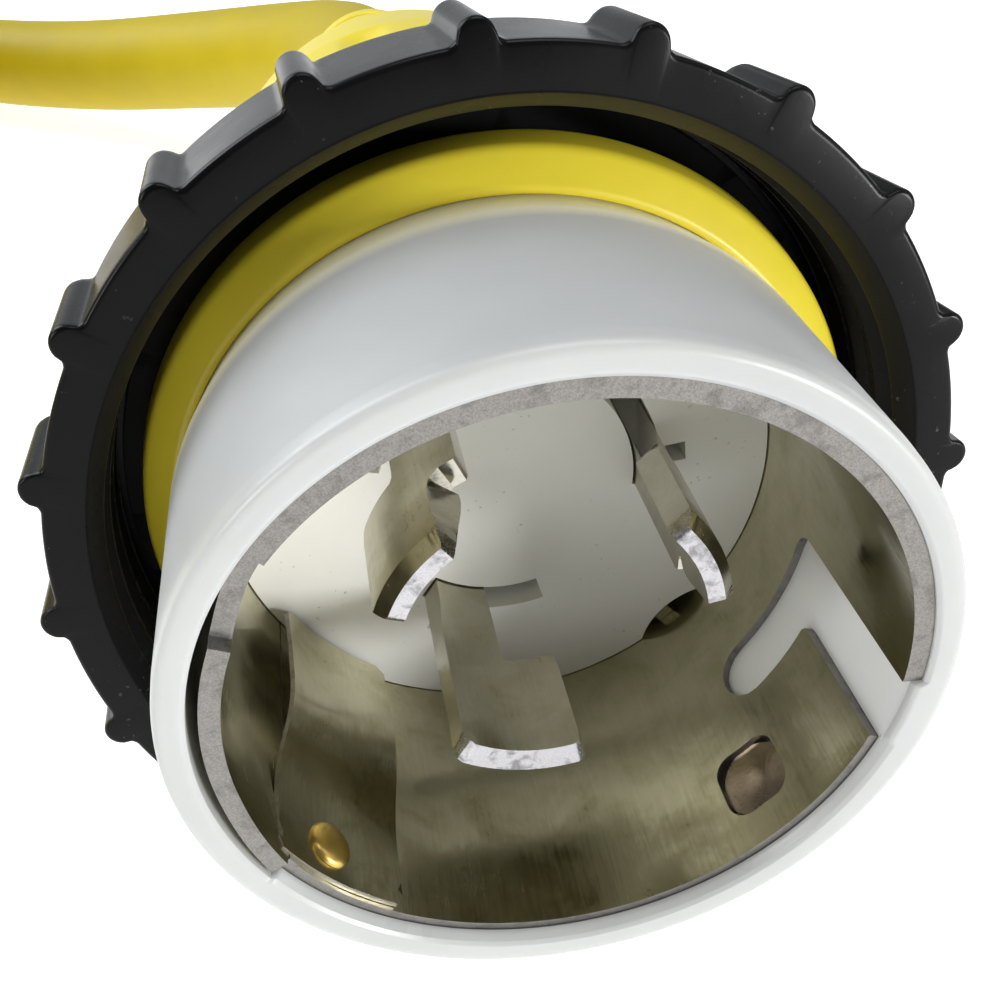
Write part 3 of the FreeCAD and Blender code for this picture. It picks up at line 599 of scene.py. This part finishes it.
def body_piece(name, flange, place, inner_front):
    """Soft overmoulding with a flange, a neck under the ring, finger flutes and a taper."""
    f = flange
    outline = rounded([
        (f + 0.05, inner_front, 0.4),
        (f + 0.05, 30.9, 1.6),
        (f + 2.0, 33.6, 1.4),
        (f + 5.9, 33.9, 0.8),
        (f + 6.0, 30.0, 0.5),
        (f + 26.6, 30.0, 0.8),
        (f + 27.8, 30.95, 1.6),
        (f + 66.0, 29.8, 26.0),
        (f + 84.0, 27.4, 20.0),
        (f + 102.0, 22.6, 20.0),
        (f + 119.6, 18.3, 1.5),
        (f + 120.3, 17.4, 0.4),
        (f + 120.3, 12.2, 0.0),
        (f + 27.0, 12.2, 0.0),
        (f + 27.0, 28.65, 0.0),
        (f + 5.3, 28.65, 0.0),
        (f + 5.3, inner_front, 0.0),
    ])
    dense = []
    for (s0, r0), (s1, r1) in zip(outline, outline[1:] + outline[:1]):
        pieces = max(1, int(hypot(s1 - s0, r1 - r0) / 1.5)) if min(r0, r1) > 14 else 1
        dense += [(s0 + (s1 - s0) * k / pieces, r0 + (r1 - r0) * k / pieces) for k in range(pieces)]

    def fluted(r, angle, s):
        if r < 16 or not f + 31 < s < f + 65:
            return r
        along = min(1.0, (s - f - 31) / 4, (f + 65 - s) / 9)
        ends = sqrt(max(0.0, 1 - (1 - max(0.0, along)) ** 2))
        across = ((angle / 30.0) % 1.0 - 0.5) * 30.0
        groove = max(0.0, 1 - (across / 6.0) ** 2)
        return r - 1.3 * ends * groove ** 1.3

    return turned(name, dense, place, [yellow], columns=360, shape=fluted)


def relief_piece(name, flange, place):
    """Tapered strain relief with cushioning grooves, drawn down to the cable."""
    s0, s1 = flange + 120.4, flange + 158.4
    corners = [(s0 + 0.05, 12.0, 0.0), (s0 + 0.05, 16.6, 0.5)]
    for k in range(5):
        s = s0 + 4.2 + k * 6.4
        r = 16.5 - (k + 0.5) * 0.62
        corners += [(s, r, 0.7), (s + 0.8, r - 1.5, 0.6)]
        corners += [(s + 2.6, r - 1.55, 0.6), (s + 3.4, r - 0.25, 0.7)]
    corners += [(s1 - 0.6, 13.1, 0.6), (s1 - 0.05, 12.4, 0.2), (s1 - 0.05, 12.0, 0.0)]
    return turned(name, rounded(corners), place, [yellow], columns=160)


RIB_STEP = 18.0
RIB_PHASE = 5.2
RIB_R = 1.5
RIB_CENTRE = 41.5
RING_BAND = 13.0
THREAD_PITCH = 4.0


def ring_piece(name, place):
    """Threaded ring with round ribs that blend into the band."""

    def ribbed(r, angle, s):
        if r < 39.5 or s > RING_BAND:
            return r
        off = ((angle - RIB_PHASE) / RIB_STEP + 0.5) % 1.0 * RIB_STEP - RIB_STEP / 2
        across = radians(off) * RIB_CENTRE
        crown = 0.3 + sqrt(max(0.0, RIB_R ** 2 - across ** 2)) if abs(across) < RIB_R else 0.0
        foot = max(0.0, 1 - abs(abs(across) - 1.35) / 0.95)
        rise = max(crown if abs(across) < 1.42 else 0.0, 0.55 * foot ** 2)
        fade = min(1.0, max(0.0, (RING_BAND - 0.5 - s) / 1.6))
        return r + rise * sqrt(max(0.0, 1 - (1 - fade) ** 2))

    corners = [
        (0.0, 37.6, 0.35),
        (0.0, 41.2, 0.55),
        (RING_BAND, 41.2, 0.5),
        (18.6, 36.9, 0.9),
        (19.0, 35.0, 0.5),
        (19.0, 31.5, 0.4),
        (16.1, 31.45, 0.3),
        (16.1, 37.4, 0.3),
    ]
    for k in range(3):
        s = 14.6 - THREAD_PITCH * k
        corners += [(s, 37.4, 0.2), (s - 0.8, 36.1, 0.25), (s - 1.7, 36.1, 0.25), (s - 2.5, 37.4, 0.2)]
    corners.append((2.0, 36.3, 0.3))
    outline = rounded(corners)
    dense = []
    for (s0, r0), (s1, r1) in zip(outline, outline[1:] + outline[:1]):
        pieces = max(1, int(abs(s1 - s0) / 0.5)) if min(r0, r1) > 40.5 else 1
        dense += [(s0 + (s1 - s0) * k / pieces, r0 + (r1 - r0) * k / pieces) for k in range(pieces)]
    return turned(name, dense, place, [black], columns=1440, shape=ribbed)


for end, place, ring_place, flange, inner in (
    ("plug", PLUG, PLUG_RING, PLUG_FLANGE, 30.3),
    ("connector", CONNECTOR, CONNECTOR_RING, CONNECTOR_FLANGE, 26.3),
):
    body = body_piece(end + "_moulding", flange, place, inner)
    finish_piece(body, "cord", [end + "_body"])
    relief = relief_piece(end + "_relief", flange, place)
    finish_piece(relief, "cord", [end + "_strain_relief"])
    ring = ring_piece(end + "_coupling_ring", ring_place)
    finish_piece(ring, end + "_ring_turner", [end + "_ring"])


# ---- plug ----

SHELL_IN = 26.9
SHELL_OUT = 28.5
SHROUD_LIP = 27.72
PAD_IN = 27.75
SLOT_R = 27.0  # radius at which the shell's cut-outs are laid out
POCKET_ANGLE = -42.5
POCKET_S = 8.0
BLADE_IN = 12.3
BLADE_OUT = 14.7


def smooth(t):
    """0 to 1 with a soft start and end, as t goes from 0 to 1."""
    t = min(1.0, max(0.0, t))
    return t * t * (3 - 2 * t)


def lipped(r, angle, s):
    """The bore closes in over the shell's set-back edge and, a little less, at the slot's mouth."""
    if r > 29.6 or s > 1.28:
        return r
    lip = smooth(min(angle - 211.8, 346.0 - angle) * 0.98)
    mouth = smooth(min(angle - 344.5, 358.9 - angle) * 1.6)
    slope = 0.3 + 0.7 * smooth(s / 1.2)
    corner = 1 - 0.55 * (1 - sqrt(max(0.0, 1 - max(0.0, 1 - s / 1.2) ** 2)))
    return r - (r - SHROUD_LIP) * lip * slope - (r - PAD_IN - 0.01) * max(0.0, mouth - lip) * corner


shroud = turned("plug_shroud_moulding", rounded([
    (0.0, 28.9, 0.3),
    (0.0, 30.9, 0.9),
    (2.0, 31.0, 0.6),
    (23.4, 31.0, 2.0),
    (27.6, 30.25, 0.8),
    (32.9, 30.2, 0.0),
    (32.9, 28.53, 0.0),
    (1.3, 28.53, 0.0),
    (1.22, 28.53, 0.0),
    (1.0, 28.53, 0.0),
    (0.8, 28.53, 0.0),
    (0.6, 28.53, 0.0),
    (0.45, 28.53, 0.0),
    (0.3, 28.53, 0.1),
]), PLUG, [white], columns=720, shape=lipped)
finish_piece(shroud, "cord", ["plug_shroud"])

slot = [(-15.4, 1.3), (-15.4, 14.6), (-15.7, 15.4), (-16.6, 15.7)]
slot += corner_arc((-33.0, 18.8), 3.05, 270, 90, SLOT_R)
slot += corner_arc((-5.9, 19.8), 2.1, 90, 0, SLOT_R)
slot += [(-1.2, 0.6)]
shell_outline = [(-147.8, 1.3)] + slot
shell_outline += [(-0.4, 0.5), (142.6, 0.5), (143.4, 1.5), (158.6, 1.5), (159.4, 0.5)]
shell_outline += [(211.4, 0.5), (211.8, 1.3), (211.9, 43.9), (-147.8, 43.9)]
pocket = []
for k in range(4):
    corner = 45 + 90 * k
    across = 1.909 * cos(radians(corner)) * 180 / (pi * SLOT_R)
    along = 2.050 * sin(radians(corner))
    centre = (POCKET_ANGLE + across, POCKET_S + along)
    pocket += corner_arc(centre, 2.0, corner - 45, corner + 45, SLOT_R, steps=6)


def rolled_in(angle, s):
    """The shell's front edge leans in towards the axis along the left side."""
    angle = (angle + 360) % 360
    along = smooth((angle - 143) / 18) * smooth((228 - angle) / 38)
    return 0.85 * along * smooth((9.0 - s) / 7.0)


shell = bent_plate(
    "plug_shell", shell_outline,
    lambda a, s: SHELL_IN - rolled_in(a, s),
    lambda a, s: SHELL_OUT - rolled_in(a, s),
    PLUG, [nickel, edge], [pocket], rows=1.5,
)
finish_piece(bevel(shell, 0.16), "cord", ["plug_ground_shell"])

pad_outline = [(-15.3, 0.9)] + slot[1:-1] + [(-1.3, 0.9)]
pad = bent_plate("plug_slot_pad", pad_outline, PAD_IN, 28.9, PLUG, [pad_white_painted_light])
finish_piece(bevel(pad, 0.1, 2), "cord")


def radial(r, angle, s):
    """Placement whose local axis points outward at a spot on a circle."""
    outward = polar(1, angle, 0)
    turn = Vector((0, 1, 0)).rotation_difference(outward).to_matrix().to_4x4()
    return PLUG @ Matrix.Translation(polar(r, angle, s)) @ turn


bowl = [(0.75, 3.6, 0.0), (0.95, 2.6, 0.0), (1.15, 1.6, 0.0), (1.25, 0.8, 0.0), (1.28, 0.0, 0.0)]
bowl += [(1.55, 0.0, 0.0), (1.55, 3.6, 0.0)]
pocket_place = radial(SHELL_IN, POCKET_ANGLE, POCKET_S)
pocket_piece = turned("plug_shell_pocket", rounded(bowl), pocket_place, [tarnish], columns=48)
finish_piece(pocket_piece, "cord")


def blade_piece(name, outline, offset, corner):
    """Blade from an outline; the outer face is chamfered at the front and below the corner."""

    def inner(angle, s):
        return BLADE_IN + offset

    def outer(angle, s):
        return BLADE_OUT + offset - (0.95 * smooth((9.7 - s) / 1.2) if corner else 0.0)

    def slant(angle, s):
        if not corner:
            return -2.6 * smooth((outline[0][0] + 1.0 - angle) / 1.0) * smooth((30.0 - s) / 8.0)
        near = smooth((angle - corner + 2.0) / 2.0) * smooth((corner + 3.5 - angle) / 3.0)
        return -7.0 * near * smooth((s - 8.6) / 6.4) * smooth((17.2 - s) / 1.2)

    plate = bent_plate(name, outline, inner, outer, PLUG, [blade_nickel, blade_edge, blade_side],
                       step=1.5, rows=1.2, slant=slant, tip=10.3)
    return bevel(plate, 0.28)


def barrel_piece(name, r, angle, outer, bore, place):
    """Crimp barrel behind the core, with a flared mouth and two pressed dents."""
    centre = place @ Matrix.Translation(polar(r, angle, 50.5))

    def dented(radius, around, s):
        dent = max(0.0, 1 - ((s - 7.5) / 2.2) ** 2) * max(0.0, cos(radians(2 * around))) ** 4
        return radius - 0.55 * dent if radius > bore + 0.2 else radius

    corners = [(0.0, 0.6, 0.0), (0.0, outer, 0.5)]
    corners += [(s, outer, 0.0) for s in (2.0, 5.0, 6.5, 7.5, 8.5, 10.0)]
    corners += [(13.5, outer, 0.3), (13.5, bore + 0.3, 0.3), (12.0, bore, 0.0)]
    corners += [(1.5, bore, 0.0), (1.5, 0.6, 0.0)]
    return turned(name, rounded(corners), centre, [blade_nickel], columns=64, shape=dented)


def blade_outline(first, hot):
    """Head and stem as (angle, s); a hot blade has a notch and a corner taken off its front."""
    last = first + 48.5
    if hot:
        head = [(first + 0.3, 17.6), (first + 1.4, 17.0), (first + 7.0, 17.0)]
        head += [(first + 11.2, 16.3), (first + 12.6, 15.2), (first + 12.4, 11.8), (first + 11.3, 10.9)]
        head += [(first + 12.0, 10.0), (first + 13.0, 8.9), (first + 14.0, 8.5)]
    else:
        head = [(first, 9.6), (first + 0.9, 8.8), (first + 3.0, 8.5)]
    head += [(last - 3.0, 8.5), (last - 0.9, 8.8), (last, 9.8)]
    head += [(last, 19.0), (last - 1.2, 20.0), (last - 3.0, 20.4)]
    stem = [(first + 26.6, 20.4), (first + 25.2, 20.9), (first + 25.0, 21.8)]
    return head + stem + [(first + 25.0, 51.5), (first, 51.5)]


for name, first, offset, corner in (("neutral", -122.2, 0.0, None), ("hot_x", 115.6, 0.0, 128.0),
                                    ("hot_y", -2.4, 1.1, 10.0)):
    middle = (BLADE_IN + BLADE_OUT) / 2 + offset
    barrel = barrel_piece("plug_crimp_" + name, middle, first + 12.5, 4.0, 2.6, PLUG)
    finish_piece(barrel, "cord")
    blade = blade_piece("plug_pin_" + name, blade_outline(first, name != "neutral"), offset, corner)
    finish_piece(blade, "cord", ["plug_blade_" + name])


# (s, distance that the leaf stands in from the shell)
LEAF_STATIONS = ((1.6, 0.0), (8.4, 0.0), (12.0, 0.5), (16.0, 1.7), (19.0, 2.1), (26.0, 1.9), (31.2, 1.5))


def leaf_rise(s):
    """How far the spring leaf stands in from the shell, smoothed between its stations."""
    total = 0.0
    for k in range(9):
        at = min(31.2, max(1.6, s + (k - 4) * 0.45))
        for (s0, rise0), (s1, rise1) in zip(LEAF_STATIONS, LEAF_STATIONS[1:]):
            if s0 <= at <= s1:
                total += rise0 + (rise1 - rise0) * (at - s0) / (s1 - s0)
                break
    return total / 9


leaf = bent_plate(
    "plug_contact_leaf",
    [(-151.5, 2.6), (-150.2, 1.7), (-121.8, 1.7), (-120.5, 2.6), (-120.5, 30.2), (-122.6, 31.2),
     (-149.4, 31.2), (-151.5, 30.2)],
    lambda a, s: SHELL_IN - 0.56 - leaf_rise(s),
    lambda a, s: SHELL_IN - 0.06 - leaf_rise(s),
    PLUG, [nickel, edge], step=1.5, rows=0.8,
)
finish_piece(bevel(leaf, 0.12, 2), "cord", ["plug_ground_spring"])

dome = [(0.0, 2.25, 0.0), (-0.25, 2.2, 0.0), (-0.5, 1.95, 0.0), (-0.7, 1.45, 0.0), (-0.82, 0.75, 0.0)]
dome += [(-0.85, 0.0, 0.0), (1.9, 0.0, 0.0), (1.9, 1.05, 0.0), (0.0, 1.05, 0.0)]
rivet_place = radial(SHELL_IN - 0.6, -137.3, 5.2)
rivet = turned("plug_leaf_rivet", rounded(dome), rivet_place, [bright_brass], columns=64)
finish_piece(rivet, "cord", ["plug_spring_rivet"])


# ---- CAD nodes that keep their own shape ----

NODE_FINISH = {
    "plug_core": (core, 0.25),
    "plug_ground_lug": (nickel, 0.2),
    "plug_lug_rivet": (brass, 0.2),
    "plug_wire_ends": (copper, 0.1),
    "plug_premould": (premould, 0.3),
    "plug_jacket_end": (yellow_cable_painted_shade, 0.2),
    "plug_ring_washer": (black_washer, 0.1),
    "connector_nose": (nose_nylon, 0.4),
    "connector_ground_band": (nickel, 0.2),
    "connector_ground_lug": (nickel, 0.2),
    "connector_contact_neutral": (brass, 0.15),
    "connector_contact_hot_x": (brass, 0.15),
    "connector_contact_hot_y": (brass, 0.15),
    "connector_wire_ends": (copper, 0.1),
    "connector_premould": (premould, 0.3),
    "connector_jacket_end": (yellow_cable_painted_shade, 0.2),
    "connector_gasket": (rubber, 0.4),
    "connector_ring_washer": (black_washer, 0.1),
}
for end in ("plug", "connector"):
    for colour, shader in wire_materials.items():
        NODE_FINISH[end + "_wire_" + colour] = (shader, 0.1)
for node, (shader, width) in NODE_FINISH.items():
    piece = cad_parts[node]
    piece.data.materials.clear()
    piece.data.materials.append(shader.material)
    weld = piece.modifiers.new("weld", "WELD")
    weld.merge_threshold = 1e-6
    bevel(piece, width, 2)


# ---- floor and light ----

bpy.ops.mesh.primitive_plane_add(size=30, location=(0, 0, -0.0002))
floor = bpy.context.object
floor.name = "floor"
paper = Shader("floor_paper", (0.55, 0.55, 0.55), 0.8)
paper.bsdf.inputs["Emission Color"].default_value = (1, 1, 1, 1)
paper.bsdf.inputs["Emission Strength"].default_value = 0.85
paper.bump(paper.noise(1.5), 0.02, 0.3)
floor.data.materials.append(paper.material)


def area_light(name, place, target, size, power, colour=(1, 1, 1)):
    light = bpy.data.lights.new(name, "AREA")
    light.shape = "RECTANGLE"
    light.size, light.size_y = size
    light.energy = power
    light.color = colour
    lamp = bpy.data.objects.new(name, light)
    lamp.location = place
    lamp.rotation_euler = (Vector(target) - Vector(place)).to_track_quat("-Z", "Y").to_euler()
    bpy.context.collection.objects.link(lamp)


area_light("window", (-0.8, 0.55, 0.8), (0, 0, 0.04), (0.8, 0.8), 10.5, (0.92, 0.96, 1.0))
area_light("back", (-0.35, 1.5, 0.42), (0, 0, 0.05), (1.8, 0.75), 1.9, (0.90, 0.96, 1.0))
area_light("key", (1.05, -1.15, 0.20), (-0.01, -0.07, 0.04), (0.35, 0.35), 15)
area_light("front", (-1.1, -0.52, 0.45), (0, -0.08, 0.04), (0.4, 0.4), 5.0)
area_light("side", (0.9, -0.2, 0.7), (0, 0, 0.04), (0.6, 0.8), 1.2)
area_light("top", (0.15, -0.02, 1.1), (0, -0.05, 0.04), (0.6, 0.6), 3.8)

world = bpy.data.worlds.new("studio")
bpy.context.scene.world = world
world.use_nodes = True
world.node_tree.nodes["Background"].inputs["Color"].default_value = (0.97, 0.975, 0.99, 1)
world.node_tree.nodes["Background"].inputs["Strength"].default_value = 0.12
bpy.context.scene.view_settings.view_transform = "Standard"
